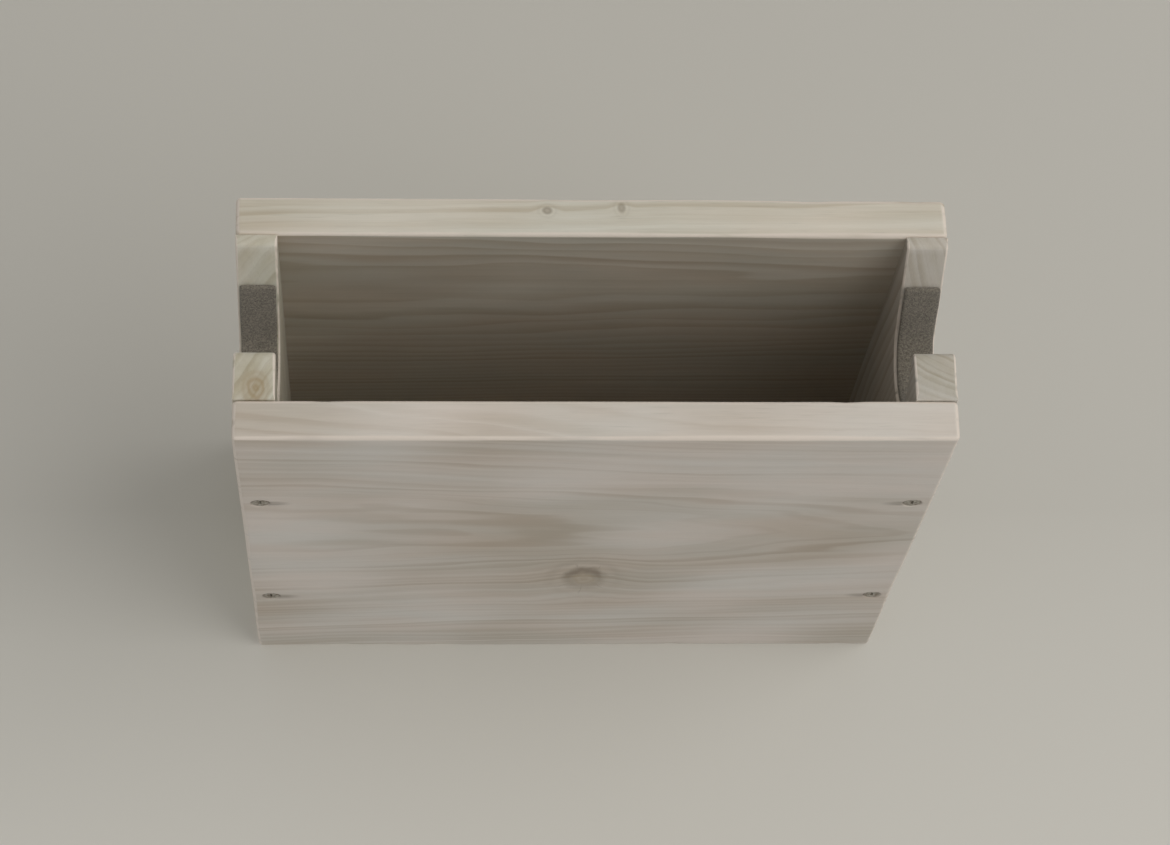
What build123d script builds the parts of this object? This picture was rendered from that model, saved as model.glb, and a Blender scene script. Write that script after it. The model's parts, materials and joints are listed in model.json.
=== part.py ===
from build123d import *
import os
from math import cos, radians, sin, tan

# A wall rack for a bicycle: a wooden box, open at the front, that is screwed to a wall.
# The bicycle's top tube lies in a slanting slot in each side board, behind an upstanding lip.
# Millimetres. +X is to the right for someone who faces the wall, +Y goes into the wall, +Z is up.
# The origin is midway between the two wall screw holes, on the plane of the wall.

# Boards
rack_width = 325.0
rack_depth = 310.0
top_thickness = 19.0
bottom_thickness = 19.0
side_thickness = 19.0
board_ease = 2.0  # rounding of the edges of the top and bottom boards
side_ease = 1.2  # rounding of the edges of the side boards that show

# Slot in each side board, falling towards the wall
slot_angle = 25.0
slot_width = 44.0
slot_reach = 36.0  # from the front to the centre of the slot's round end
lip_height = 26.0  # front of the lip, above the bottom board
finger_height = 5.5  # front of the wood above the slot
lip_round = 4.0
finger_round = 2.0

# Strip of felt glued round each slot
liner_thickness = 3.0
liner_width = 17.0
liner_glue = 0.1
liner_setback = 21.0  # upper end, behind the front
liner_lip_setback = 11.0  # lower end, behind the front

# Rail at the back, under the top board, with the wall screw holes
rail_height = 45.0
rail_thickness = 19.0
wall_hole_spacing = 200.0
wall_hole_diameter = 5.5
wall_sink_diameter = 10.5

# Countersunk wood screw, used throughout
screw_length = 45.0
thread_diameter = 4.0
thread_length = 28.0
thread_pitch = 1.8
core_diameter = 2.6
shank_diameter = 3.0
head_diameter = 8.0
head_rim = 0.4
head_sink = 0.4  # top of the head, below the face of the board
sink_angle = 90.0
recess_span = 4.6
recess_blade = 1.1
recess_depth = 1.7
recess_taper = 12.0
point_length = 4.0
point_radius = 0.15  # the point is a little blunt

# Places of the screws and their holes
screw_behind_slot = 27.0  # front bottom screws, behind the end of the slot
top_screw_stagger = 12.0  # top screws, nearer the front and back than the bottom ones
rear_screw_inset = 85.0
rail_screw_spacing = 24.0
hole_clearance = 0.1
bite_clearance = 0.05
hole_spare = 1.0  # room beyond the point of a screw

# Heights, from the wall screw holes
slot_mouth = slot_width / cos(radians(slot_angle))
side_height = lip_height + slot_mouth + finger_height
side_high = rail_height / 2
side_low = side_high - side_height
top_high = side_high + top_thickness
bottom_low = side_low - bottom_thickness

# Widths and depths
side_middle = (rack_width - side_thickness) / 2
inner_half = rack_width / 2 - side_thickness
front = -rack_depth

# Centre of the slot's round end, where the slot's lower face passes the top of the lip
slot_end_y = front + slot_reach
slot_end_z = side_low + lip_height + slot_mouth / 2 - slot_reach * tan(radians(slot_angle))
slot_run = (slot_reach + slot_width) / cos(radians(slot_angle))

# Screw rows
front_bottom_y = slot_end_y + slot_width / 2 + screw_behind_slot
rear_bottom_y = -rear_screw_inset
front_top_y = front_bottom_y - top_screw_stagger
rear_top_y = rear_bottom_y + top_screw_stagger
rail_middle_y = -rail_thickness / 2
bite_radius = thread_diameter / 2 + bite_clearance
pass_radius = thread_diameter / 2 + hole_clearance
sink_radius = head_diameter / 2 + hole_clearance + (head_rim + head_sink) * tan(radians(sink_angle / 2))
bottom_bite = screw_length + head_sink - bottom_thickness + hole_spare
top_bite = screw_length + head_sink - top_thickness + hole_spare
rail_bite = screw_length + head_sink - side_thickness + hole_spare

sides = {"left": -1, "right": 1}
bottom_rows = {"front": front_bottom_y, "rear": rear_bottom_y}
top_rows = {"front": front_top_y, "rear": rear_top_y}
rail_rows = {"upper": rail_screw_spacing / 2, "lower": -rail_screw_spacing / 2}
facing_down = (180, 0, 0)
facing_up = (0, 0, 0)
facing_front = (90, 0, 0)


def facing_out(sign):
    return (0, sign * 90, 0)


def slot_plane(sign):
    slope = radians(slot_angle)
    return Plane(
        origin=(sign * side_middle, slot_end_y, slot_end_z),
        x_dir=(0, -cos(slope), sin(slope)),
        z_dir=(-1, 0, 0),
    )


# Where each screw's head lies in its board, with the way that the head faces
screw_places = {}
for side, sign in sides.items():
    for row, y in bottom_rows.items():
        place = Location((sign * side_middle, y, bottom_low), facing_down)
        screw_places[f"bottom_screw_{side}_{row}"] = place
    for row, y in top_rows.items():
        place = Location((sign * side_middle, y, top_high), facing_up)
        screw_places[f"top_screw_{side}_{row}"] = place
    for row, z in rail_rows.items():
        place = Location((sign * rack_width / 2, rail_middle_y, z), facing_out(sign))
        screw_places[f"rail_screw_{side}_{row}"] = place


def places_of(kind, side=""):
    return [place for name, place in screw_places.items() if name.startswith(f"{kind}_screw_{side}")]


os.makedirs("parts", exist_ok=True)

# Top board, screwed down on the side boards
with BuildPart() as top_board:
    with Locations((0, front, side_high)):
        Box(rack_width, rack_depth, top_thickness, align=(Align.CENTER, Align.MIN, Align.MIN))
    fillet(top_board.edges(), board_ease)
    with Locations(places_of("top")):
        CounterSinkHole(pass_radius, sink_radius, counter_sink_angle=sink_angle)
top_board.part.label = "top_board"
export_step(top_board.part, "parts/top_board.step")

# Bottom board, screwed up into the side boards
with BuildPart() as bottom_board:
    with Locations((0, front, bottom_low)):
        Box(rack_width, rack_depth, bottom_thickness, align=(Align.CENTER, Align.MIN, Align.MIN))
    fillet(bottom_board.edges(), board_ease)
    with Locations(places_of("bottom")):
        CounterSinkHole(pass_radius, sink_radius, counter_sink_angle=sink_angle)
bottom_board.part.label = "bottom_board"
export_step(bottom_board.part, "parts/bottom_board.step")

# Side boards, each with its slot, its lip in front of the slot and the finger of wood above it
for side, sign in sides.items():
    with BuildPart() as side_board:
        with Locations((sign * side_middle, front, side_low)):
            Box(side_thickness, rack_depth, side_height, align=(Align.CENTER, Align.MIN, Align.MIN))
        with BuildSketch(slot_plane(sign)):
            Circle(slot_width / 2)
            Rectangle(slot_run, slot_width, align=(Align.MIN, Align.CENTER))
        extrude(amount=side_thickness, both=True, mode=Mode.SUBTRACT)
        corners = side_board.faces().sort_by(Axis.Y)[:2].edges().filter_by(Axis.X)
        fillet(corners.sort_by(Axis.Z)[1], lip_round)
        corners = side_board.faces().sort_by(Axis.Y)[:2].edges().filter_by(Axis.X)
        fillet(corners.sort_by(Axis.Z)[-2], finger_round)
        outline = side_board.faces().filter_by(Axis.X).edges()
        joint_edges = outline.filter_by(Axis.Y)
        wall_edges = outline.filter_by(Axis.Z).group_by(Axis.Y)[-1]
        fillet(outline - joint_edges - wall_edges, side_ease)
        for y in bottom_rows.values():
            with Locations(Location((sign * side_middle, y, side_low), facing_down)):
                Hole(bite_radius, bottom_bite)
        for y in top_rows.values():
            with Locations(Location((sign * side_middle, y, side_high), facing_up)):
                Hole(bite_radius, top_bite)
        with Locations(places_of("rail", side)):
            CounterSinkHole(pass_radius, sink_radius, counter_sink_angle=sink_angle)
    side_board.part.label = f"{side}_side_board"
    export_step(side_board.part, f"parts/{side}_side_board.step")

# Back rail, held between the side boards, with the two holes for the wall screws
with BuildPart() as back_rail:
    Box(2 * inner_half, rail_thickness, rail_height, align=(Align.CENTER, Align.MAX, Align.CENTER))
    for sign in sides.values():
        for z in rail_rows.values():
            with Locations(Location((sign * inner_half, rail_middle_y, z), facing_out(sign))):
                Hole(bite_radius, rail_bite)
        with Locations(Location((sign * wall_hole_spacing / 2, -rail_thickness, 0), facing_front)):
            CounterSinkHole(wall_hole_diameter / 2, wall_sink_diameter / 2, counter_sink_angle=sink_angle)
back_rail.part.label = "back_rail"
export_step(back_rail.part, "parts/back_rail.step")

# Slot liners: a strip along the upper face of the slot, round its end and up behind the lip
liner_outer = slot_width / 2 - liner_glue
liner_inner = liner_outer - liner_thickness
end_shift = slot_width / 2 * sin(radians(slot_angle))
upper_run = (slot_reach + end_shift - liner_setback) / cos(radians(slot_angle))
lower_run = (slot_reach - end_shift - liner_lip_setback) / cos(radians(slot_angle))
for side, sign in sides.items():
    with BuildPart() as slot_liner:
        with BuildSketch(slot_plane(sign)):
            with BuildLine():
                Line((upper_run, liner_outer), (0, liner_outer))
                ThreePointArc((0, liner_outer), (-liner_outer, 0), (0, -liner_outer))
                Line((0, -liner_outer), (lower_run, -liner_outer))
                Line((lower_run, -liner_outer), (lower_run, -liner_inner))
                Line((lower_run, -liner_inner), (0, -liner_inner))
                ThreePointArc((0, -liner_inner), (-liner_inner, 0), (0, liner_inner))
                Line((0, liner_inner), (upper_run, liner_inner))
                Line((upper_run, liner_inner), (upper_run, liner_outer))
            make_face()
        extrude(amount=liner_width / 2, both=True)
    slot_liner.part.label = f"{side}_slot_liner"
    export_step(slot_liner.part, f"parts/{side}_slot_liner.step")

# One wood screw with its head's top at the origin, pointing down. Its thread is drawn as level ridges.
cone_low = -head_rim - (head_diameter - shank_diameter) / 2 / tan(radians(sink_angle / 2))
thread_high = -screw_length + point_length + thread_length
ridge_count = int(thread_length / thread_pitch)
thread_low = thread_high - ridge_count * thread_pitch
outline = [
    (0, 0),
    (head_diameter / 2, 0),
    (head_diameter / 2, -head_rim),
    (shank_diameter / 2, cone_low),
    (shank_diameter / 2, thread_high),
]
for ridge in range(ridge_count):
    ridge_high = thread_high - ridge * thread_pitch
    outline.append((core_diameter / 2, ridge_high))
    outline.append((thread_diameter / 2, ridge_high - thread_pitch / 2))
outline.append((core_diameter / 2, thread_low))
outline.append((point_radius, -screw_length))
outline.append((0, -screw_length))
with BuildPart() as wood_screw:
    with BuildSketch(Plane.XZ):
        with BuildLine():
            Polyline(outline, close=True)
        make_face()
    revolve(axis=Axis.Z)
    with BuildSketch(Plane.XY):
        Rectangle(recess_span, recess_blade)
        Rectangle(recess_blade, recess_span)
    extrude(amount=-recess_depth, taper=recess_taper, mode=Mode.SUBTRACT)

# The screws in their places
for name, place in screw_places.items():
    with BuildPart() as screw:
        with Locations(place * Location((0, 0, -head_sink))):
            add(wood_screw.part)
    screw.part.label = name
    export_step(screw.part, f"parts/{name}.step")
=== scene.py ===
import json
import math

import bmesh
import bpy
import numpy as np
from mathutils import Matrix, Vector
from mathutils.geometry import delaunay_2d_cdt


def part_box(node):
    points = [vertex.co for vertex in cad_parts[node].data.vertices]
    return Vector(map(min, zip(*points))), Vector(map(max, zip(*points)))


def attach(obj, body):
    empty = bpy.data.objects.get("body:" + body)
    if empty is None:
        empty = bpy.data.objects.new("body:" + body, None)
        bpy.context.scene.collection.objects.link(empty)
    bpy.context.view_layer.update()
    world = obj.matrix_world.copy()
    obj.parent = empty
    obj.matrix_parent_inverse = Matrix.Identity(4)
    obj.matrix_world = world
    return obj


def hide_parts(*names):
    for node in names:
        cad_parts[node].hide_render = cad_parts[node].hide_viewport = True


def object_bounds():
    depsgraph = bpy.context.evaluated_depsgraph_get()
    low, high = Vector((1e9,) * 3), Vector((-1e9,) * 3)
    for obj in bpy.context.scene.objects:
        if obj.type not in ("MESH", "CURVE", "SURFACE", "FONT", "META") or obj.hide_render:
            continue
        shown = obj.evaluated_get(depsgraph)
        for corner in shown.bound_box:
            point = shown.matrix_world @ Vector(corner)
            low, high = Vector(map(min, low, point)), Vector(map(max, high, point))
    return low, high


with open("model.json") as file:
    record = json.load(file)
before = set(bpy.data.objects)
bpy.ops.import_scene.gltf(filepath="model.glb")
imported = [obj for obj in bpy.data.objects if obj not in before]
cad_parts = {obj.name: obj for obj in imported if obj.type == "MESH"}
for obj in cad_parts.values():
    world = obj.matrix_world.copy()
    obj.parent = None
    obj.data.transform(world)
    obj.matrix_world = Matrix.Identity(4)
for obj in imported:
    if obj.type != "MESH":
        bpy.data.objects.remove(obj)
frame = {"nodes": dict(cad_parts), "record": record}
cadLow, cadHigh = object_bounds()
nodes = frame["nodes"]
mm = 0.001  # shapes are worked out in millimetres
touching = 1e-4  # points closer than this count as one
print("frame loaded:", len(nodes), "nodes")


def boxOf(node):
    low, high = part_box(node)
    return np.array(low) / mm, np.array(high) / mm


def middlesOf(kind):
    return np.array([sum(boxOf(name)) / 2 for name in sorted(nodes) if name.startswith(kind)])


def drift(points, seed, length):
    # a smooth wandering value of about -1 to 1: sines along seeded ways, with wavelengths near the length
    rng = np.random.default_rng(seed)
    sines = 7
    ways = rng.normal(size=(sines, points.shape[1]))
    waves = length * rng.uniform(0.6, 1.7, sines) * np.linalg.norm(ways, axis=1)
    starts = rng.uniform(0, 2 * math.pi, sines)
    return np.sin(points @ (ways * (2 * math.pi / waves)[:, None]).T + starts).sum(1) / (sines / 2)


def gridFaces(rows, cols, roundRows=False, roundCols=False):
    # four-sided faces of a grid of points; a round grid joins its last row or column to its first
    at = np.arange(rows * cols).reshape(rows, cols)
    if roundRows:
        at = np.vstack([at, at[:1]])
    if roundCols:
        at = np.hstack([at, at[:, :1]])
    return np.stack([at[:-1, :-1], at[1:, :-1], at[1:, 1:], at[:-1, 1:]], -1).reshape(-1, 4)


def addPiece(name, node, slot, points, faces, flatFaces=0, **marks):
    # a closed surface in millimetres takes a node's place; its last faces may be shaded flat, and each mark
    # is an attribute of its points
    mesh = bpy.data.meshes.new(name)
    mesh.from_pydata((points * mm).tolist(), [], faces)
    smooth = np.arange(len(faces)) < len(faces) - flatFaces
    mesh.polygons.foreach_set("use_smooth", smooth)
    for mark, values in marks.items():
        mesh.attributes.new(mark, "FLOAT", "POINT").data.foreach_set("value", values.astype(np.float32))
    loose = bmesh.new()
    loose.from_mesh(mesh)
    bmesh.ops.delete(loose, geom=[v for v in loose.verts if not v.link_faces])
    bmesh.ops.recalc_face_normals(loose, faces=loose.faces)
    loose.to_mesh(mesh)
    loose.free()
    piece = bpy.data.objects.new(name, mesh)
    bpy.context.scene.collection.objects.link(piece)
    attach(piece, "root")
    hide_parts(node)
    return piece


# top and bottom boards: eased by hand, so the edges wander and are dented here and there
boardShape = dict(
    ease=2.2, uneven=0.3, easeWander=90.0, hollow=0.07, hollowWander=120.0,
    edgeLines=(0.0, 0.1, 0.22, 0.36, 0.52, 0.7, 0.9, 1.2, 1.6, 2.2), evenFrom=3.0, step=4.0, leastStep=0.15,
    dents=18, dentAlong=(0.5, 0.4, 0.1), dentReach=4.5, dentReaches=(0.5, 1.4),
    dentDepth=0.45, dentDepths=(0.3, 1.0),
)
headSink = dict(radius=4.9, bore=2.1, fine=0.5)  # countersinks of 90 degrees, down to the bores


def sideLines(low, high, marks):
    # places of the grid lines along one side: close together at both ends and across each screw
    ease, fine = boardShape["ease"], headSink["fine"]
    near = ease * np.array(boardShape["edgeLines"])
    reach = np.arange(-headSink["radius"] - fine, headSink["radius"] + 1.5 * fine, fine)
    inset = boardShape["evenFrom"] * ease
    spread = [low + near, high - near, np.arange(low + inset, high - inset, boardShape["step"])]
    lines = np.sort(np.concatenate(spread + [mark + reach for mark in marks]))
    return lines[np.append(np.diff(lines) > boardShape["leastStep"], True)]


def boxSkin(xs, ys, zs):
    # the six faces of a box as grids on shared lines, joined along its edges
    lines = (xs, ys, zs)
    points, faces, count = [], [], 0
    for k in range(3):
        first, second = np.meshgrid(lines[(k + 1) % 3], lines[(k + 2) % 3], indexing="ij")
        for end, order in ((0, slice(None, None, -1)), (-1, slice(None))):
            flat = np.empty((first.size, 3))
            flat[:, k] = lines[k][end]
            flat[:, (k + 1) % 3] = first.ravel()
            flat[:, (k + 2) % 3] = second.ravel()
            points.append(flat)
            faces.append(gridFaces(*first.shape)[:, order] + count)
            count += first.size
    points, merged = np.unique(np.concatenate(points).round(5), axis=0, return_inverse=True)
    return points, merged.ravel()[np.concatenate(faces)]


def easeEdges(points, low, high, ease):
    # each point is clamped to a core, set in by the ease, and moved out from it by the ease: round edges
    core = np.clip(points, low + ease[:, None], high - ease[:, None])
    away = points - core
    arris = np.sort(np.abs(away), axis=1)[:, 1] / ease
    return core + ease[:, None] * away / np.linalg.norm(away, axis=1, keepdims=True), arris


def boreHoles(skin, points, faces, places):
    # level faces inside a bore are left out, their edge is drawn onto its circle, and a wall joins both edges
    corners = skin[faces]
    reach = np.linalg.norm(corners.mean(1)[:, None, :2] - places, axis=2).min(1)
    gone = (np.ptp(corners[..., 2], axis=1) < touching) & (reach < headSink["bore"])
    ways = np.stack([faces[gone], np.roll(faces[gone], -1, 1)], -1).reshape(-1, 2)
    edge = ways[~np.isin(ways @ [len(skin), 1], ways @ [1, len(skin)])]
    rim = np.unique(edge)
    near = places[np.linalg.norm(skin[rim, None, :2] - places, axis=2).argmin(1)]
    away = skin[rim, :2] - near
    points[rim, :2] = near + away * (headSink["bore"] / np.linalg.norm(away, axis=1))[:, None]
    below = edge[skin[edge[:, 0], 2] == skin[:, 2].min()]
    # the skin is sorted, so the point above one on the lower edge is the next in the list
    wall = np.hstack([below, below[:, ::-1] + 1])
    return np.concatenate([faces[~gone], wall])


def sinkHeads(points, face, inward, places):
    # round each screw the face sinks by as much as a point lies inside the rim
    onFace = abs(points[:, 2] - face) < touching
    radius, fine = headSink["radius"], headSink["fine"]
    for place in places:
        away = points[:, :2] - place
        reach = np.linalg.norm(away, axis=1)
        rim = onFace & (abs(reach - radius) < 0.5 * fine)
        points[rim, :2] = place + away[rim] * (radius / reach[rim])[:, None]
        reach[rim] = radius
        points[:, 2] += onFace * inward * np.maximum(radius - reach, 0)


def dentEdges(points, low, high, rng):
    # bell-shaped dents at seeded places on the edges, pressed in on both faces that meet there
    for _ in range(boardShape["dents"]):
        ends = rng.integers(0, 2, 3)
        along = rng.choice(3, p=boardShape["dentAlong"])
        spot = np.where(ends, high, low)
        spot[along] = rng.uniform(low[along], high[along])
        push = np.where(ends, -1.0, 1.0)
        push[along] = 0.0
        reach = boardShape["dentReach"] * rng.uniform(*boardShape["dentReaches"])
        fall = np.exp(-((np.linalg.norm(points - spot, axis=1) / reach) ** 2))
        points += fall[:, None] * push * boardShape["dentDepth"] * rng.uniform(*boardShape["dentDepths"])


def makeBoard(name, node, slot, screws, screwFace, seed):
    # a box skin, rounded along its edges, then bored and sunk for its screws, dented and hollowed
    low, high = boxOf(node)
    places = middlesOf(screws)[:, :2]
    xs = sideLines(low[0], high[0], np.unique(places[:, 0].round(2)))
    ys = sideLines(low[1], high[1], np.unique(places[:, 1].round(2)))
    zs = sideLines(low[2], high[2], [])
    skin, faces = boxSkin(xs, ys, zs)
    wander = np.clip(drift(skin, seed, boardShape["easeWander"]), -1, 1)
    ease = boardShape["ease"] * (1 + boardShape["uneven"] * wander)
    points, arris = easeEdges(skin, low, high, ease)
    faces = boreHoles(skin, points, faces, places)
    sinkHeads(points, (low, high)[screwFace][2], (1, -1)[screwFace], places)
    dentEdges(points, low, high, np.random.default_rng(seed))
    middle = (low + high) / 2
    wander = np.clip(drift(skin[:, :2], seed + 1, boardShape["hollowWander"]), -1, 1)
    hollow = boardShape["hollow"] * (1 + wander)
    points -= hollow[:, None] * ((points - middle) / (high - middle))  # faces a little hollow, never proud
    return addPiece(name, node, slot, points, faces.tolist(), arris=arris)


limedTop = makeBoard("limedTop", "top_board", "limed_top", "top_screw", screwFace=1, seed=5)
limedBottom = makeBoard("limedBottom", "bottom_board", "limed_bottom", "bottom_screw", screwFace=0, seed=11)
print("top and bottom boards made")

# side boards: the slot falls towards the wall from its mouth, behind a lip and under a finger of wood
seat = np.array([m["pos_m"] for m in frame["record"]["mounts"] if m["name"] == "tube_seat"][0])[1:] / mm
slotShape = dict(width=44.0, slope=25.0, lipRound=4.0, fingerRound=2.0, cornerRound=0.5)
sideShape = dict(
    ease=1.3, jointEase=0.35, jointBand=0.6, uneven=0.35, easeWander=45.0,
    step=3.0, arcStep=1.2, arcPoints=5, easePoints=6, borePoints=40, sawnFrom=1.0,
)
slope = math.radians(slotShape["slope"])
slotOut = np.array([-math.cos(slope), math.sin(slope)])  # in Y and Z, towards the mouth
slotUp = np.array([math.sin(slope), math.cos(slope)])


def roundCorners(corners, radii):
    # a closed outline with an arc of its own radius at each corner and straight runs between; also gives the
    # way out of the wood at each point
    before = np.roll(corners, 1, 0) - corners
    after = np.roll(corners, -1, 0) - corners
    before /= np.linalg.norm(before, axis=1)[:, None]
    after /= np.linalg.norm(after, axis=1)[:, None]
    half = np.arccos((before * after).sum(1)) / 2
    inward = before + after
    inward /= np.linalg.norm(inward, axis=1)[:, None]
    middle = corners + inward * (radii / np.sin(half))[:, None]
    start = corners + before * (radii / np.tan(half))[:, None]
    end = corners + after * (radii / np.tan(half))[:, None]
    line, out = [], []
    for i, radius in enumerate(radii):
        first, last = start[i] - middle[i], end[i] - middle[i]
        begin = math.atan2(first[1], first[0])
        sweep = math.atan2(first[0] * last[1] - first[1] * last[0], first @ last)
        count = sideShape["arcPoints"] + int(radius / sideShape["arcStep"])
        angle = begin + sweep * np.linspace(0, 1, count)
        ray = np.stack([np.cos(angle), np.sin(angle)], -1)
        line.append(middle[i] + radius * ray)
        out.append(np.sign(sweep) * ray)
        run = start[(i + 1) % len(radii)] - end[i]
        length = np.linalg.norm(run)
        if length > touching:
            share = np.linspace(0, 1, 2 + int(length / sideShape["step"]))[1:-1]
            line.append(end[i] + share[:, None] * run)
            out.append(np.tile(np.array([run[1], -run[0]]) / length, (len(share), 1)))
    line, out = np.concatenate(line), np.concatenate(out)
    apart = np.linalg.norm(line - np.roll(line, 1, 0), axis=1) > touching
    return line[apart], out[apart]


def fillFace(points, outline, holes):
    # triangles that fill an outline across X, as even as its points allow, but not its round holes
    rims = [outline] + holes
    order = np.concatenate(rims)
    last = np.cumsum([len(rim) for rim in rims]) - 1
    ahead = np.arange(len(order)) + 1
    ahead[last] = last + 1 - [len(rim) for rim in rims]
    edges = np.stack([np.arange(len(order)), ahead], -1).tolist()
    flat = [Vector(p) for p in points[order, 1:]]
    triangles = order[np.array(delaunay_2d_cdt(flat, edges, [], 1, touching)[2])]
    for hole in holes:
        middle = points[hole].mean(0)
        away = np.linalg.norm(points[triangles].mean(1) - middle, axis=1)
        triangles = triangles[away > np.linalg.norm(points[hole[0]] - middle)]
    return triangles.tolist()


def mouthCorner(front, v):
    # where a face of the slot, v above its middle line, meets the board's front
    return seat + v * slotUp + slotOut * (front - seat[0] - v * slotUp[0]) / slotOut[0]


def makeSide(name, node, side, seed):
    # an outline in Y and Z with the slot in it, carried across X between two flat faces
    low, high = boxOf(node)
    front = low[1]
    reach, corner = slotShape["width"] / 2, slotShape["cornerRound"]
    outline = [
        ((high[1], low[2]), corner),
        ((high[1], high[2]), corner),
        ((front, high[2]), corner),
        (mouthCorner(front, reach), slotShape["fingerRound"]),
        (seat + reach * (slotUp - slotOut), reach),
        (seat - reach * (slotUp + slotOut), reach),
        (mouthCorner(front, -reach), slotShape["lipRound"]),
        ((front, low[2]), corner),
    ]
    line, out = roundCorners(*map(np.array, zip(*outline)))
    band = sideShape["jointBand"]
    joint = (line[:, 1] < low[2] + band) | (line[:, 1] > high[2] - band) | (line[:, 0] > high[1] - band)
    wander = np.clip(drift(line, seed, sideShape["easeWander"]), -1, 1)
    ease = np.where(joint, sideShape["jointEase"], sideShape["ease"] * (1 + sideShape["uneven"] * wander))
    # the rim: a quarter round at each face of the board, carried along the outline
    quarter = np.linspace(0, math.pi / 2, sideShape["easePoints"])
    turn = np.concatenate([quarter, quarter[::-1]])
    edge = np.repeat([-1.0, 1.0], len(quarter))
    middle, half = (low[0] + high[0]) / 2, (high[0] - low[0]) / 2
    across = middle + edge * (half - ease[:, None] * (1 - np.cos(turn)))
    yz = line[:, None] - out[:, None] * (ease[:, None] * (1 - np.sin(turn)))[..., None]
    rim = np.concatenate([across[..., None], yz], -1)
    rows, cols = across.shape
    arris = np.broadcast_to(np.sin(2 * turn), across.shape).ravel()
    # the slot's sawn face, from a little behind the front
    slotted = np.where(joint, 0.0, np.clip((line[:, 0] - front) / sideShape["sawnFrom"] - 1, 0, 1))
    sawn = (slotted[:, None] * np.sin(turn)).ravel()
    # bores for the rail screws, as rings: a cone from the outer face, then straight to the inner one
    spin = np.linspace(0, 2 * math.pi, sideShape["borePoints"], endpoint=False)
    ray = np.stack([np.zeros_like(spin), np.cos(spin), np.sin(spin)], -1)
    down = np.array([0.0, headSink["radius"] - headSink["bore"], 2 * half])[:, None, None]
    inward = np.array([-side, 0.0, 0.0])
    points, faces = [rim.reshape(-1, 3)], gridFaces(rows, cols, roundRows=True).tolist()
    mouths, ends = [], []
    for place in middlesOf("rail_screw_left" if side < 0 else "rail_screw_right"):
        mouth = np.array([middle + side * half, place[1], place[2]])
        bore = mouth + down * inward + np.maximum(headSink["radius"] - down, headSink["bore"]) * ray
        first = sum(map(len, points))
        points.append(bore.reshape(-1, 3))
        faces += (gridFaces(*bore.shape[:2], roundCols=True) + first).tolist()
        mouths.append(first + np.arange(len(spin)))
        ends.append(mouths[-1] + 2 * len(spin))
    points = np.concatenate(points)
    # both flat faces, with the bores' rims as holes
    edges = np.arange(rows) * cols
    outer, inner = (0, cols - 1)[::-side]
    caps = fillFace(points, edges + outer, mouths) + fillFace(points, edges + inner, ends)
    unmarked = np.zeros(len(points) - len(arris))
    arris, sawn = np.append(arris, unmarked), np.append(sawn, unmarked)
    return addPiece(name, node, "limed_sides", points, faces + caps, len(caps), arris=arris, sawn=sawn)


leftSide = makeSide("leftSide", "left_side_board", side=-1, seed=21)
rightSide = makeSide("rightSide", "right_side_board", side=1, seed=34)
print("side boards made")

# felt strips, glued round the slots
feltShape = dict(
    thickness=3.0, width=17.0, glue=0.1, upperSetback=21.0, lowerSetback=11.0,
    uneven=0.3, edgeWander=22.0, pressWander=30.0, edgeRound=0.8, endRun=1.5,
    widePower=0.3, thickPower=0.45, ringPoints=48, endPoints=7, runPoints=150,
)


def makeFelt(name, node, seed):
    # a superellipse, flat with round corners, carried along a straight, a half circle and another straight
    low, high = boxOf(node)
    reach = seat[0] - cadLow[1] / mm
    bend = slotShape["width"] / 2 - feltShape["glue"] - feltShape["thickness"] / 2
    shift = slotShape["width"] / 2 * math.sin(slope)
    upper = (reach + shift - feltShape["upperSetback"]) / math.cos(slope)
    lower = (reach - shift - feltShape["lowerSetback"]) / math.cos(slope)
    length = upper + math.pi * bend + lower
    endRun = feltShape["endRun"]
    fine = np.linspace(0, 1, feltShape["endPoints"]) ** 2 * endRun
    run = np.linspace(endRun, length - endRun, feltShape["runPoints"])
    along = np.unique(np.concatenate([fine, run, length - fine]).round(4))
    angle = np.clip((along - upper) / bend, 0, math.pi)
    u = np.maximum(upper - along, 0) - bend * np.sin(angle) + np.maximum(along - upper - math.pi * bend, 0)
    v = bend * np.cos(angle)
    line = seat + u[:, None] * slotOut + v[:, None] * slotUp
    out = np.cos(angle)[:, None] * slotUp - np.sin(angle)[:, None] * slotOut
    spin = np.linspace(0, 2 * math.pi, feltShape["ringPoints"], endpoint=False)
    wide = np.sign(np.cos(spin)) * np.abs(np.cos(spin)) ** feltShape["widePower"]
    thick = np.sign(np.sin(spin)) * np.abs(np.sin(spin)) ** feltShape["thickPower"]
    nearEnd = np.minimum(along, length - along)
    inset = feltShape["edgeRound"] * (1 - np.sqrt(1 - np.clip(1 - nearEnd / endRun, 0, 1) ** 2))
    # both edges wander, and the inner face is pressed in here and there
    uneven, wander = feltShape["uneven"], feltShape["edgeWander"]
    edges = [uneven * (drift(along[:, None], seed + k, wander) - 1) / 2 for k in (0, 1)]
    edge = np.where(wide > 0, edges[0][:, None], edges[1][:, None])
    press = uneven * (drift(along[:, None], seed + 2, feltShape["pressWander"]) - 1) / 4
    sideways = wide * (feltShape["width"] / 2 - inset[:, None] + edge)
    outward = thick * (feltShape["thickness"] / 2 - inset[:, None]) + np.where(thick < 0, -press[:, None], 0)
    middle = (low[0] + high[0]) / 2
    yz = line[:, None] + outward[..., None] * out[:, None]
    points = np.concatenate([(middle + sideways)[..., None], yz], -1)
    rows, cols = sideways.shape
    faces = gridFaces(rows, cols, roundCols=True).tolist()
    faces += [np.arange(cols).tolist(), (np.arange(cols) + (rows - 1) * cols).tolist()]
    piece = addPiece(name, node, "felt", points.reshape(-1, 3), faces, flatFaces=2)
    print(name, "is", round(length, 1), "mm long")
    return piece


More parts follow.
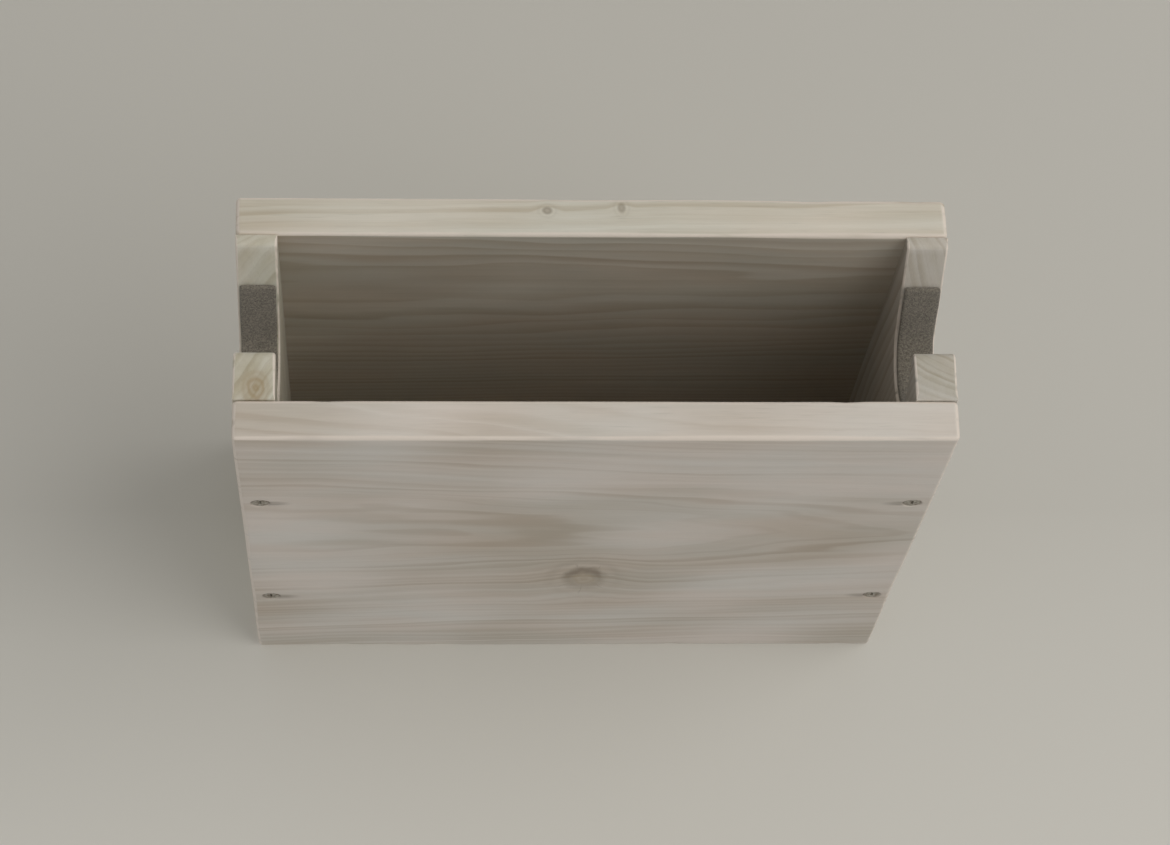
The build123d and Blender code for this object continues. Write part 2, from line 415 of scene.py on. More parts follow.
leftFelt = makeFelt("leftFelt", "left_slot_liner", seed=41)
rightFelt = makeFelt("rightFelt", "right_slot_liner", seed=52)


def srgb(red, green, blue):
    # a colour as a picture editor shows it, 0 to 255, made linear
    c = np.array([red, green, blue]) / 255.0
    return (*np.where(c <= 0.04045, c / 12.92, ((c + 0.055) / 1.055) ** 2.4).tolist(), 1.0)


# node helpers: each gives back an output socket, or a group's outputs
def put(tree, kind, **settings):
    made = tree.nodes.new(kind)
    for name, value in settings.items():
        setattr(made, name, value)
    return made


def feed(tree, socket, value):
    if isinstance(value, bpy.types.NodeSocket):
        tree.links.new(value, socket)
    elif value is not None:
        socket.default_value = value


def calc(tree, operation, a, b=None, c=None, clamp=False):
    made = put(tree, "ShaderNodeMath", operation=operation, use_clamp=clamp)
    for i, value in enumerate((a, b, c)):
        feed(tree, made.inputs[i], value)
    return made.outputs[0]


def vector(tree, operation, a, b=None):
    made = put(tree, "ShaderNodeVectorMath", operation=operation)
    feed(tree, made.inputs[0], a)
    feed(tree, made.inputs[1], b)
    return made.outputs["Value" if operation in ("LENGTH", "DOT_PRODUCT") else "Vector"]


def ramp(tree, value, low, high, toLow=0.0, toHigh=1.0):
    made = put(tree, "ShaderNodeMapRange", interpolation_type="SMOOTHSTEP")
    for i, v in enumerate((value, low, high, toLow, toHigh)):
        feed(tree, made.inputs[i], v)
    return made.outputs["Result"]


def fade(tree, value, low, high):
    return ramp(tree, value, low, high, 1.0, 0.0)


def noise(tree, point, scale, detail=2.0, rough=0.5, output="Fac"):
    made = put(tree, "ShaderNodeTexNoise")
    feed(tree, made.inputs["Vector"], vector(tree, "MULTIPLY", point, scale))
    made.inputs["Scale"].default_value = 1.0
    made.inputs["Detail"].default_value = detail
    made.inputs["Roughness"].default_value = rough
    return made.outputs[output]


def mix(tree, share, a, b, kind="MIX"):
    made = put(tree, "ShaderNodeMix", data_type="RGBA", blend_type=kind)
    for i, value in ((0, share), (6, a), (7, b)):
        feed(tree, made.inputs[i], value)
    return made.outputs[2]


def newGroup(name, ins, outs):
    tree = bpy.data.node_groups.new(name, "ShaderNodeTree")
    for label, kind in ins.items():
        tree.interface.new_socket(label, in_out="INPUT", socket_type="NodeSocket" + kind)
    for label, kind in outs.items():
        tree.interface.new_socket(label, in_out="OUTPUT", socket_type="NodeSocket" + kind)
    return tree, put(tree, "NodeGroupInput").outputs, put(tree, "NodeGroupOutput").inputs


def useGroup(tree, group, **values):
    made = put(tree, "ShaderNodeGroup", node_tree=group)
    for name, value in values.items():
        feed(tree, made.inputs[name], value)
    return made.outputs


def newMaterial(name, specular=0.3):
    made = bpy.data.materials.new(name)
    made.use_nodes = True
    tree = made.node_tree
    shader = tree.nodes["Principled BSDF"]
    shader.inputs["Specular IOR Level"].default_value = specular
    metres = put(tree, "ShaderNodeTexCoord").outputs["Object"]
    return made, tree, shader, vector(tree, "MULTIPLY", metres, (1 / mm, 1 / mm, 1 / mm))


def finishBump(tree, shader, height, strength, distance):
    bump = put(tree, "ShaderNodeBump")
    bump.inputs["Strength"].default_value = strength
    bump.inputs["Distance"].default_value = distance * mm
    feed(tree, bump.inputs["Height"], height)
    feed(tree, shader.inputs["Normal"], bump.outputs["Normal"])


# spruce: noise scales per millimetre along and across the grain, and spans of the year in which wood darkens
grainLook = dict(
    broad=(0.0035, 0.016, 0.016), ripple=(0.013, 0.06, 0.06), rippleShare=0.22,
    lateSpan=(0.15, 0.85), endSpan=(0.86, 1.0), yearShare=0.7, decades=0.16, bandSpan=(0.3, 0.7),
    coarse=(0.03, 1.3, 1.3), coarseShare=0.6, fine=(0.12, 6.0, 6.0),
)


def makeSpruceGrain():
    # growth rings of a tapering log about a pith along X: late wood darkens slowly and ends sharply each year
    look = grainLook
    tree, given, out = newGroup(
        "spruceGrain",
        dict(Point="Vector", Spacing="Float", Wander="Float", Taper="Float", Swell="Float"),
        dict(Late="Float", Fibre="Float", Band="Float"),
    )
    point = given["Point"]
    radius = vector(tree, "LENGTH", vector(tree, "MULTIPLY", point, (0.0, 1.0, 1.0)))
    along = put(tree, "ShaderNodeSeparateXYZ")
    feed(tree, along.inputs[0], point)
    radius = calc(tree, "MULTIPLY_ADD", along.outputs["X"], given["Taper"], radius)
    broad = noise(tree, point, look["broad"])
    ripple = noise(tree, point, look["ripple"])
    ripple = calc(tree, "MULTIPLY_ADD", ripple, look["rippleShare"], -look["rippleShare"] / 2)
    sway = calc(tree, "ADD", calc(tree, "SUBTRACT", broad, 0.5), ripple)
    bent = calc(tree, "ADD", calc(tree, "MULTIPLY_ADD", sway, given["Wander"], radius), given["Swell"])
    years = calc(tree, "DIVIDE", bent, given["Spacing"])
    season = calc(tree, "FRACT", years)
    late = ramp(tree, season, *look["lateSpan"])
    late = calc(tree, "MULTIPLY", late, fade(tree, season, *look["endSpan"]))
    year = put(tree, "ShaderNodeTexWhiteNoise", noise_dimensions="1D")
    feed(tree, year.inputs["W"], calc(tree, "FLOOR", years))
    share = look["yearShare"]
    late = calc(tree, "MULTIPLY", late, calc(tree, "MULTIPLY_ADD", year.outputs["Value"], share, 1 - share))
    decade = put(tree, "ShaderNodeTexNoise", noise_dimensions="1D")
    feed(tree, decade.inputs["W"], calc(tree, "MULTIPLY", years, look["decades"]))
    coarse = noise(tree, point, look["coarse"], detail=3.0, rough=0.6)
    fine = noise(tree, point, look["fine"], rough=0.6)
    fine = calc(tree, "MULTIPLY", fine, 1 - look["coarseShare"])
    feed(tree, out["Late"], late)
    feed(tree, out["Fibre"], calc(tree, "MULTIPLY_ADD", coarse, look["coarseShare"], fine))
    feed(tree, out["Band"], ramp(tree, decade.outputs["Fac"], *look["bandSpan"]))
    return tree


# knots: how far from the middle each mark sets in and ends, as shares of the knot's size, and how deep it is
knotShape = dict(
    wobble=(0.18, 0.18, 0.18), uneven=0.5, rimSpan=(0.3, 0.8), rimEnd=(0.85, 1.3),
    ringSpan=(1.4, 1.7), ringEnd=(1.7, 2.2), ringDepth=0.2, frontSpan=(-0.85, 0.45), backDepth=0.32,
    cracks=3.5, crackWidth=0.16, crackDepth=0.55, crackSpan=(0.3, 0.6), crackEnd=(0.9, 1.9),
    coreEnd=(0.3, 1.3), coreRings=17.0, coreDepths=(0.2, 0.7), swell=0.9, swellEnd=3.6,
)


def makeKnotMark():
    # a branch end: a dark rim that is stronger towards the front, a fainter ring outside it, a tan core with
    # rings, cracks that fan out and grain that swells round it
    look = knotShape
    tree, given, out = newGroup(
        "knotMark",
        dict(Offset="Vector", Size="Float"),
        dict(Rim="Float", Core="Float", Swell="Float"),
    )
    wobble = noise(tree, given["Offset"], look["wobble"])
    reach = calc(tree, "DIVIDE", vector(tree, "LENGTH", given["Offset"]), given["Size"])
    reach = calc(tree, "ADD", reach, calc(tree, "MULTIPLY_ADD", wobble, look["uneven"], -look["uneven"] / 2))
    split = put(tree, "ShaderNodeSeparateXYZ")
    feed(tree, split.inputs[0], vector(tree, "NORMALIZE", given["Offset"]))
    frontward = ramp(tree, split.outputs["Y"], *look["frontSpan"], 1.0, look["backDepth"])
    band = ramp(tree, reach, *look["rimSpan"])
    band = calc(tree, "MULTIPLY", band, fade(tree, reach, *look["rimEnd"]))
    outer = ramp(tree, reach, *look["ringSpan"], 0.0, look["ringDepth"])
    outer = calc(tree, "MULTIPLY", outer, fade(tree, reach, *look["ringEnd"]))
    band = calc(tree, "MAXIMUM", band, outer)
    angle = calc(tree, "ARCTAN2", split.outputs["Y"], split.outputs["X"])
    spoke = calc(tree, "SINE", calc(tree, "MULTIPLY_ADD", angle, look["cracks"], wobble))
    crack = ramp(tree, calc(tree, "ABSOLUTE", spoke), 0.0, look["crackWidth"], look["crackDepth"], 0.0)
    crack = calc(tree, "MULTIPLY", crack, ramp(tree, reach, *look["crackSpan"]))
    crack = calc(tree, "MULTIPLY", crack, fade(tree, reach, *look["crackEnd"]))
    rings = calc(tree, "SINE", calc(tree, "MULTIPLY", reach, look["coreRings"]))
    rings = calc(tree, "MULTIPLY_ADD", rings, *look["coreDepths"])
    feed(tree, out["Rim"], calc(tree, "MAXIMUM", calc(tree, "MULTIPLY", band, frontward), crack))
    feed(tree, out["Core"], calc(tree, "MULTIPLY", fade(tree, reach, *look["coreEnd"]), rings))
    feed(tree, out["Swell"], fade(tree, reach, 0.0, look["swellEnd"]))
    return tree


# limed coat: noise scales per millimetre, tones that multiply a colour, spans over which a thing sets in, and
# how much thinner the stain is where
coatLook = dict(
    strokes=(0.006, 0.17, 0.17), patches=(0.006, 0.014, 0.014), slant=(0.4, 0.3, 0.42),
    coverSpan=(-0.15, 0.85), endSpan=(0.55, 0.9), insideSpan=(0.02, 0.14),
    # thinning the stain on faces turned into the box paints shade there
    thinner=dict(Band=0.22, Late=0.08, End=0.12, Inside=0.5),
    # the cool tone for faces turned into the box paints the colour of shade there
    sawnTone=(0.93, 0.92, 0.86, 1.0), sawnShare=0.85, shadeCoolTone=(0.97, 1.0, 1.08, 1.0),
    hues=(0.011, 0.030, 0.030), hueShift=(310.0, 70.0, 40.0), hueSpan=(0.3, 0.7),
    warmTone=(1.02, 0.985, 0.965, 1.0), coolTone=(0.97, 0.985, 0.985, 1.0),
    flecks=(0.05, 2.2, 2.2), fleckSpan=(0.64, 0.80), fleckShade=0.10, fibreShades=(0.22, 0.89),
    # pale edges: worn wood, and also a painted highlight
    wornLitSpots=(0.03, 0.25, 0.25), wornLitSpan=(0.22, 0.52), arrisSpan=(0.05, 0.55), wornLitShare=0.85,
    wornLitEdge=(0.84, 0.755, 0.67, 1.0), strokeRoughs=(0.22, 0.56), rubSmooth=0.1,
    lateHeight=0.35, fibreHeight=0.7, fleckHeight=0.5, bump=(0.4, 0.35),
)


def makeLimeCoat():
    # thin white stain brushed along the grain: thinner over late wood, on ends and in the sawn slots, and
    # rubbed off the edges; thinned and cooled on faces inside the box as painted shade, and pale edges that
    # are partly a painted highlight
    look = coatLook
    tree, given, out = newGroup(
        "limeCoat",
        dict(
            Point="Vector", Late="Float", Fibre="Float", Band="Float", Arris="Float", End="Float",
            Inside="Float", Cover="Float", Streak="Float", Cloud="Float",
            Early="Color", Dark="Color", Wash="Color",
        ),
        dict(Colour="Color", Rough="Float", Height="Float"),
    )
    point = given["Point"]
    wood = mix(tree, given["Late"], given["Early"], given["Dark"])
    sawn = mix(tree, 1.0, wood, look["sawnTone"], "MULTIPLY")
    wood = mix(tree, calc(tree, "MULTIPLY", given["End"], look["sawnShare"]), wood, sawn)
    # faces turned into the box take a cooler tone: painted shade
    shadeCooled = mix(tree, 1.0, wood, look["shadeCoolTone"], "MULTIPLY")
    wood = mix(tree, given["Inside"], wood, shadeCooled)
    slanted = put(tree, "ShaderNodeMapping")
    slanted.inputs["Rotation"].default_value = look["slant"]
    feed(tree, slanted.inputs["Vector"], point)
    strokes = noise(tree, point, look["strokes"], detail=4.0, rough=0.6)
    patches = noise(tree, slanted.outputs["Vector"], look["patches"], detail=1.2)
    cover = calc(tree, "MULTIPLY_ADD", calc(tree, "SUBTRACT", strokes, 0.5), given["Streak"], given["Cover"])
    cover = calc(tree, "MULTIPLY_ADD", calc(tree, "SUBTRACT", patches, 0.5), given["Cloud"], cover)
    # the stain also thins on faces turned into the box: painted shade
    for part, share in look["thinner"].items():
        cover = calc(tree, "MULTIPLY_ADD", given[part], -share, cover)
    coat = mix(tree, ramp(tree, cover, *look["coverSpan"]), wood, given["Wash"])
    hue = noise(tree, vector(tree, "ADD", point, look["hueShift"]), look["hues"])
    tint = mix(tree, ramp(tree, hue, *look["hueSpan"]), look["warmTone"], look["coolTone"])
    coat = mix(tree, 1.0, coat, tint, "MULTIPLY")
    fleck = ramp(tree, noise(tree, point, look["flecks"], detail=1.0), *look["fleckSpan"])
    shade = calc(tree, "MULTIPLY_ADD", given["Fibre"], *look["fibreShades"])
    shade = calc(tree, "SUBTRACT", shade, calc(tree, "MULTIPLY", fleck, look["fleckShade"]))
    coat = mix(tree, 1.0, coat, shade, "MULTIPLY")
    # the edges turn pale: partly wear, partly a painted highlight
    wornLitEdge = ramp(tree, noise(tree, point, look["wornLitSpots"]), *look["wornLitSpan"])
    wornLitEdge = calc(tree, "MULTIPLY", wornLitEdge, ramp(tree, given["Arris"], *look["arrisSpan"]))
    wornLitEdge = calc(tree, "MULTIPLY", wornLitEdge, look["wornLitShare"])
    feed(tree, out["Colour"], mix(tree, wornLitEdge, coat, look["wornLitEdge"]))
    rough = calc(tree, "MULTIPLY_ADD", strokes, *look["strokeRoughs"])
    feed(tree, out["Rough"], calc(tree, "SUBTRACT", rough, calc(tree, "MULTIPLY", wornLitEdge, look["rubSmooth"])))
    height = calc(tree, "MULTIPLY", given["Fibre"], look["fibreHeight"])
    height = calc(tree, "MULTIPLY_ADD", given["Late"], look["lateHeight"], height)
    pits = calc(tree, "MULTIPLY", fleck, look["fleckHeight"])
    feed(tree, out["Height"], calc(tree, "SUBTRACT", height, pits))
    return tree


spruceGrain, knotMark, limeCoat = makeSpruceGrain(), makeKnotMark(), makeLimeCoat()

# limed spruce: the way of the grain, the pith of the log each board was cut from, and what the brush left
limeLooks = {
    "limedTop": dict(
        grain=(1.0, 0.0, 0.0), pith=(0.0, -250.0, 128.0), spacing=3.6, wander=16.0, taper=0.02,
        cover=0.58, streak=0.5, cloud=1.3,
        early=srgb(200, 191, 172), dark=srgb(183, 169, 145), wash=srgb(226, 222, 210),
    ),
    "limedBottom": dict(
        grain=(1.0, 0.0, 0.0), pith=(0.0, -190.0, -175.0), spacing=4.2, wander=24.0, taper=0.05,
        cover=0.55, streak=0.15, cloud=1.8,
        early=srgb(196, 186, 171), dark=srgb(182, 169, 152), wash=srgb(224, 218, 210),
    ),
    "leftSide": dict(
        grain=(0.0, 1.0, 0.0), pith=(-108.0, 0.0, -82.0), spacing=3.0, wander=10.0, taper=0.02,
        cover=0.58, streak=0.42, cloud=1.2,
        early=srgb(196, 190, 170), dark=srgb(176, 166, 142), wash=srgb(219, 217, 205),
    ),
    "rightSide": dict(
        grain=(0.0, 1.0, 0.0), pith=(196.0, 0.0, 38.0), spacing=3.4, wander=10.0, taper=0.02,
        cover=0.56, streak=0.42, cloud=1.2,
        # these tones are a little darker than the left board's: painted shade
        early=srgb(187, 180, 166), dark=srgb(167, 156, 138), wash=srgb(209, 205, 198),
    ),
}
# knots: the middle, the ways across the branch, its size, and how dark its rim and core are
knots = {
    "limedTop": [
        dict(place=(-21.0, -300.0, 35.0), across=(0.8, 0.1, 1.0), size=2.0, rim=0.42, core=0.45),
        dict(place=(13.0, -300.0, 36.5), across=(0.8, 0.1, 0.6), size=1.7, rim=0.34, core=0.4),
    ],
    "limedBottom": [dict(place=(4.0, -113.0, 0.0), across=(0.85, 0.55, 0.0), size=8.5, rim=0.52, core=0.4)],
    "leftSide": [dict(place=(-152.0, -310.0, -52.5), across=(0.9, 0.05, 0.6), size=6.2, rim=0.0, core=0.8)],
    "rightSide": [],
}
knotColours = dict(rim=srgb(96, 82, 66), core=srgb(166, 144, 110))
boxMiddle = tuple((np.array(cadLow) + np.array(cadHigh)) / 2 / mm)
stainLook = dict(
    colour=srgb(98, 88, 76), inward=4.5, stretch=(0.085, 0.24, 0.0), span=(0.25, 1.0), depth=0.5,
    streaks=(0.10, 1.2, 1.2), streakSpan=(0.25, 0.65), faintest=0.45,
)


def screwStain(tree, place):
    # a dark smear at each screw on the underside, drawn out along the grain towards the middle of the board
    look = stainLook
    spots = np.abs(middlesOf("bottom_screw"))
    mirrored = vector(tree, "ABSOLUTE", place)
    stain = 0.0
    for y in np.unique(spots[:, 1].round(2)):
        away = vector(tree, "SUBTRACT", mirrored, (float(spots[0, 0]) - look["inward"], float(y), 0.0))
        reach = vector(tree, "LENGTH", vector(tree, "MULTIPLY", away, look["stretch"]))
        stain = calc(tree, "MAXIMUM", stain, ramp(tree, reach, *look["span"], look["depth"], 0.0))
    streaks = noise(tree, place, look["streaks"])
    return calc(tree, "MULTIPLY", stain, ramp(tree, streaks, *look["streakSpan"], look["faintest"], 1.0))


def limedWood(piece):
    look = limeLooks[piece.name]
    made, tree, shader, place = newMaterial(piece.name + "Wood")
    turned = put(tree, "ShaderNodeMapping")
    feed(tree, turned.inputs["Vector"], vector(tree, "SUBTRACT", place, look["pith"]))
    turned.inputs["Rotation"].default_value = (0.0, 0.0, -math.pi / 2 * look["grain"][1])
    point = turned.outputs["Vector"]
    swell, marks = 0.0, []
    for knot in knots[piece.name]:
        offset = vector(tree, "MULTIPLY", vector(tree, "SUBTRACT", place, knot["place"]), knot["across"])
        mark = useGroup(tree, knotMark, Offset=offset, Size=knot["size"])
        swell = calc(tree, "MULTIPLY_ADD", mark["Swell"], knot["size"] * knotShape["swell"], swell)
        marks.append((mark, knot))
    grain = useGroup(
        tree, spruceGrain, Point=point, Swell=swell,
        Spacing=look["spacing"], Wander=look["wander"], Taper=look["taper"],
    )
    facing = put(tree, "ShaderNodeTexCoord").outputs["Normal"]
    across = calc(tree, "ABSOLUTE", vector(tree, "DOT_PRODUCT", facing, look["grain"]))
    end = ramp(tree, across, *coatLook["endSpan"])
    sawn = put(tree, "ShaderNodeAttribute", attribute_name="sawn").outputs["Fac"]
    # how far each face turns into the box, which sets the painted shade there
    inward = vector(tree, "NORMALIZE", vector(tree, "SUBTRACT", boxMiddle, place))
    insideShade = ramp(tree, vector(tree, "DOT_PRODUCT", facing, inward), *coatLook["insideSpan"])
    arris = put(tree, "ShaderNodeAttribute", attribute_name="arris").outputs["Fac"]
    coat = useGroup(
        tree, limeCoat, Point=point, Late=grain["Late"], Fibre=grain["Fibre"], Band=grain["Band"],
        Arris=arris, End=calc(tree, "MAXIMUM", end, sawn), Inside=insideShade,
        Cover=look["cover"], Streak=look["streak"], Cloud=look["cloud"],
        Early=look["early"], Dark=look["dark"], Wash=look["wash"],
    )
    colour = coat["Colour"]
    for mark, knot in marks:
        colour = mix(tree, calc(tree, "MULTIPLY", mark["Core"], knot["core"]), colour, knotColours["core"])
        colour = mix(tree, calc(tree, "MULTIPLY", mark["Rim"], knot["rim"]), colour, knotColours["rim"])
    if piece == limedBottom:
        colour = mix(tree, screwStain(tree, place), colour, stainLook["colour"])
    feed(tree, shader.inputs["Base Color"], colour)
    feed(tree, shader.inputs["Roughness"], coat["Rough"])
    finishBump(tree, shader, coat["Height"], *coatLook["bump"])
    piece.data.materials.append(made)


for piece in (limedTop, limedBottom, leftSide, rightSide):
    limedWood(piece)
print("boards limed")

# bare planed spruce of the rail
railLook = dict(
    pith=(0.0, 60.0, -70.0), spacing=3.2, wander=8.0, taper=0.02,
    early=srgb(214, 191, 152), dark=srgb(182, 146, 101),
    fibreShades=(0.3, 0.85), fibreRoughs=(0.2, 0.5), lateHeight=0.4, bump=(0.35, 0.3),
)


def bareSpruce():
    look = railLook
    made, tree, shader, place = newMaterial("bareSpruce")
    grain = useGroup(
        tree, spruceGrain, Point=vector(tree, "SUBTRACT", place, look["pith"]),
        Spacing=look["spacing"], Wander=look["wander"], Taper=look["taper"],
    )
    shade = calc(tree, "MULTIPLY_ADD", grain["Fibre"], *look["fibreShades"])
    colour = mix(tree, grain["Late"], look["early"], look["dark"])
    feed(tree, shader.inputs["Base Color"], mix(tree, 1.0, colour, shade, "MULTIPLY"))
    feed(tree, shader.inputs["Roughness"], calc(tree, "MULTIPLY_ADD", grain["Fibre"], *look["fibreRoughs"]))
    height = calc(tree, "MULTIPLY_ADD", grain["Late"], look["lateHeight"], grain["Fibre"])
    finishBump(tree, shader, height, *look["bump"])
    return made


# wool felt: matted fibres of mixed greys
feltLook = dict(
    dark=srgb(94, 89, 80), light=srgb(148, 141, 128), fleck=srgb(180, 172, 158),
    specular=0.1, sheen=0.25, sheenRough=0.6, curls=(0.9, 0.9, 0.9), curlReach=(1.6, 1.6, 1.6),
    mats=(1.3, 1.3, 1.3), matSpan=(0.3, 0.7), matRoughs=(0.88, 1.0),
    hairs=(5.0, 1.2, 5.0), hairSpan=(0.62, 0.78), hairShare=0.5, hairHeight=0.6, bump=(0.7, 0.5),
)


def woolFelt():
    look = feltLook
    made, tree, shader, place = newMaterial("woolFelt", look["specular"])
    shader.inputs["Sheen Weight"].default_value = look["sheen"]
    shader.inputs["Sheen Roughness"].default_value = look["sheenRough"]
    curl = vector(tree, "MULTIPLY", noise(tree, place, look["curls"], output="Color"), look["curlReach"])
    tangle = vector(tree, "ADD", place, curl)
    mat = noise(tree, tangle, look["mats"], detail=4.0, rough=0.65)
    hairs = noise(tree, tangle, look["hairs"], detail=3.0, rough=0.6)
    colour = mix(tree, ramp(tree, mat, *look["matSpan"]), look["dark"], look["light"])
    colour = mix(tree, ramp(tree, hairs, *look["hairSpan"], 0.0, look["hairShare"]), colour, look["fleck"])
    feed(tree, shader.inputs["Base Color"], colour)
    feed(tree, shader.inputs["Roughness"], ramp(tree, mat, *look["matSpan"], *look["matRoughs"]))
    finishBump(tree, shader, calc(tree, "MULTIPLY_ADD", hairs, look["hairHeight"], mat), *look["bump"])
    return made


# screws: dull zinc that has gone grey and brown in places
zincLook = dict(
    clean=srgb(178, 174, 165), stained=srgb(134, 124, 110), specular=0.5,
    clouds=(0.55, 0.55, 0.55), tarnishSpan=(0.35, 0.65), tarnishRough=0.25, metal=(0.75, 0.3),
    scratches=(0.4, 7.0, 7.0), scratchRoughs=(0.2, 0.3), bump=(0.2, 0.1),
)


def dullZinc():
    look = zincLook
    made, tree, shader, place = newMaterial("dullZinc", look["specular"])
    cloud = noise(tree, place, look["clouds"], detail=4.0, rough=0.6)
    scratch = noise(tree, place, look["scratches"])
    tarnish = ramp(tree, cloud, *look["tarnishSpan"])
    feed(tree, shader.inputs["Base Color"], mix(tree, tarnish, look["clean"], look["stained"]))
    feed(tree, shader.inputs["Metallic"], ramp(tree, tarnish, 0.0, 1.0, *look["metal"]))
    rough = calc(tree, "MULTIPLY_ADD", scratch, *look["scratchRoughs"])
    feed(tree, shader.inputs["Roughness"], calc(tree, "MULTIPLY_ADD", tarnish, look["tarnishRough"], rough))
    finishBump(tree, shader, calc(tree, "ADD", scratch, cloud), *look["bump"])
    return made


def dress(names, material):
    for name in names:
        nodes[name].data.materials.clear()
        nodes[name].data.materials.append(material)


felt = woolFelt()
leftFelt.data.materials.append(felt)
rightFelt.data.materials.append(felt)
dress(["back_rail"], bareSpruce())
dress([name for name in nodes if "_screw_" in name], dullZinc())
print("rail, felt and screws finished")

# stage, in metres: a pale wall that curves into a pale floor; its back is clear and lets the rack's back show
stageLook = dict(
    behind=0.0006, top=1.6, floor=-2.3, cove=0.35, covePoints=17, reach=8.0, half=6.0, strip=(0.001, -0.003),
    colour=srgb(209, 207, 200), rough=0.9, specular=0.1, floorGlow=0.55, glowTop=0.0, glowFade=0.7,
)


def wallPaint():
    # to the camera and in reflections, the floor, and the wall less and less up to the rack, look paler than
    # their light makes them
    paint = bpy.data.materials.new("wallPaint")
    paint.use_nodes = True
    tree = paint.node_tree
    shader = tree.nodes["Principled BSDF"]
    shader.inputs["Base Color"].default_value = stageLook["colour"]
    shader.inputs["Roughness"].default_value = stageLook["rough"]
    shader.inputs["Specular IOR Level"].default_value = stageLook["specular"]
    shader.inputs["Emission Color"].default_value = stageLook["colour"]
    height = put(tree, "ShaderNodeSeparateXYZ")
    feed(tree, height.inputs[0], put(tree, "ShaderNodeTexCoord").outputs["Object"])
    below = calc(tree, "SUBTRACT", stageLook["glowTop"], height.outputs["Z"])
    low = calc(tree, "DIVIDE", below, stageLook["glowTop"] - stageLook["floor"], clamp=True)
    low = calc(tree, "POWER", low, stageLook["glowFade"])
    path = put(tree, "ShaderNodeLightPath").outputs
    seen = calc(tree, "MAXIMUM", path["Is Camera Ray"], path["Is Glossy Ray"])
    glow = calc(tree, "MULTIPLY", calc(tree, "MULTIPLY", low, seen), stageLook["floorGlow"])
    feed(tree, shader.inputs["Emission Strength"], glow)
    either = put(tree, "ShaderNodeMixShader")
    feed(tree, either.inputs[0], put(tree, "ShaderNodeNewGeometry").outputs["Backfacing"])
    feed(tree, either.inputs[1], shader.outputs[0])
    feed(tree, either.inputs[2], put(tree, "ShaderNodeBsdfTransparent").outputs[0])
    feed(tree, tree.nodes["Material Output"].inputs["Surface"], either.outputs[0])
    return paint


def makeStage(name, x, y, z, paint):
    # a profile in Y and Z, carried along X
    points = np.stack(np.broadcast_arrays(x[None, :], y[:, None], z[:, None]), -1)
    mesh = bpy.data.meshes.new(name)
    mesh.from_pydata(points.reshape(-1, 3).tolist(), [], gridFaces(*points.shape[:2]).tolist())
    mesh.polygons.foreach_set("use_smooth", np.ones(len(mesh.polygons), bool))
    mesh.materials.append(paint)
    made = bpy.data.objects.new(name, mesh)
    bpy.context.scene.collection.objects.link(made)
    return made


def makeBackdrop(look, paint):
    # wall, quarter circle and floor, which take the rack's shadow and hold no light back from it
    behind, floor, cove = look["behind"], look["floor"], look["cove"]
    turn = np.linspace(0.0, math.pi / 2, look["covePoints"])
    y = np.concatenate([[behind], behind - cove * (1 - np.cos(turn)), [-look["reach"]]])
    z = np.concatenate([[look["top"]], floor + cove * (1 - np.sin(turn)), [floor]])
    made = makeStage("backdrop", np.linspace(-look["half"], look["half"], 3), y, z, paint)
    made.visible_shadow = False
    made.visible_diffuse = False


def makeWallStrips(look, paint):
    # two stretches of wall that shut out light from behind: one inside the box, under the rail, and one along
    # the rack's lower back edge
    rail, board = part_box("back_rail"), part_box("bottom_board")
    y = np.full(2, look["behind"] / 2)
    makeStage("boxBack", np.array([rail[0][0], rail[1][0]]), y, np.array([rail[0][2], board[1][2]]), paint)
    z = board[0][2] + np.array(look["strip"])
    makeStage("edgeBack", np.array([board[0][0], board[1][0]]), y, z, paint)


paint = wallPaint()
makeBackdrop(stageLook, paint)
makeWallStrips(stageLook, paint)

# camera where the photograph was taken, swung from the picture's middle to the rack
cameraLook = dict(
    place=(-0.0884, -1.6579, -0.5853), pitch=12.28, yaw=0.65, roll=-0.38,
    aim=(0.0, -0.215, -0.032), lens=100.0, sensor=36.0,
)


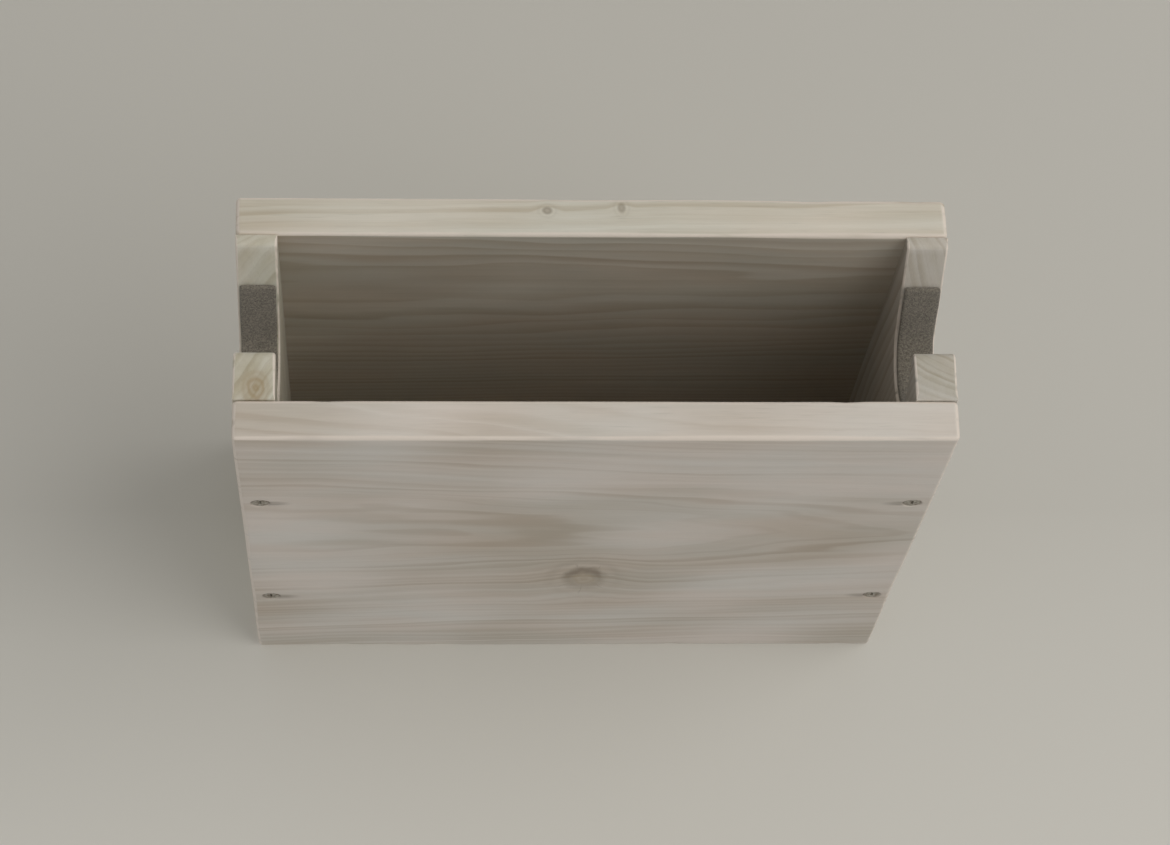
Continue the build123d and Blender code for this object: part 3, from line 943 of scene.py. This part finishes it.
def makeCamera(look):
    pitch, yaw, roll = (math.radians(look[k]) for k in ("pitch", "yaw", "roll"))
    forward = Vector((math.sin(yaw) * math.cos(pitch), math.cos(yaw) * math.cos(pitch), math.sin(pitch)))
    level = Vector((math.cos(yaw), -math.sin(yaw), 0.0))
    right = math.cos(roll) * level + math.sin(roll) * level.cross(forward)
    held = Matrix((right, right.cross(forward), -forward)).transposed()
    sight = Vector(look["aim"]) - Vector(look["place"])
    data = bpy.data.cameras.new("camera")
    data.sensor_width = look["sensor"]
    data.lens = look["lens"]
    made = bpy.data.objects.new("camera", data)
    made.location = look["place"]
    made.rotation_mode = "QUATERNION"
    made.rotation_quaternion = forward.rotation_difference(sight) @ held.to_quaternion()
    bpy.context.scene.collection.objects.link(made)
    bpy.context.scene.camera = made


makeCamera(cameraLook)

# soft light: an even surround, a broad, low key from the front right, a little thrown up from below, and a
# fill for the top and the back
lightLooks = {
    "key": dict(place=(1.7, -2.6, -0.45), size=3.0, power=37.0, colour=(1.0, 0.975, 0.935)),
    "bounce": dict(place=(0.0, -0.6, -1.2), size=1.0, power=0.5, colour=(0.98, 0.99, 1.0)),
    "behind": dict(place=(-0.6, 1.8, 1.7), size=1.6, power=19.0, colour=(1.0, 0.98, 0.95)),
}
worldLook = dict(colour=(1.0, 0.985, 0.96, 1.0), strength=0.40, shown=srgb(226, 225, 221))


def makeLights():
    for name, look in lightLooks.items():
        data = bpy.data.lights.new(name, "AREA")
        data.shape = "DISK"
        data.size = look["size"]
        data.energy = look["power"]
        data.color = look["colour"]
        made = bpy.data.objects.new(name, data)
        made.location = look["place"]
        sight = Vector(cameraLook["aim"]) - Vector(look["place"])
        made.rotation_euler = sight.to_track_quat("-Z", "Y").to_euler()
        made.visible_camera = False
        bpy.context.scene.collection.objects.link(made)
    world = bpy.data.worlds.new("surround")
    world.use_nodes = True
    tree = world.node_tree
    light = tree.nodes["Background"]
    light.inputs["Color"].default_value = worldLook["colour"]
    light.inputs["Strength"].default_value = worldLook["strength"]
    seen = put(tree, "ShaderNodeBackground")
    seen.inputs["Color"].default_value = worldLook["shown"]
    path = put(tree, "ShaderNodeLightPath").outputs
    either = put(tree, "ShaderNodeMixShader")
    feed(tree, either.inputs[0], calc(tree, "MAXIMUM", path["Is Camera Ray"], path["Is Glossy Ray"]))
    feed(tree, either.inputs[1], light.outputs[0])
    feed(tree, either.inputs[2], seen.outputs[0])
    feed(tree, tree.nodes["World Output"].inputs["Surface"], either.outputs[0])
    bpy.context.scene.world = world


makeLights()
bpy.context.scene.view_settings.view_transform = "Standard"
print("stage, camera and lights set")
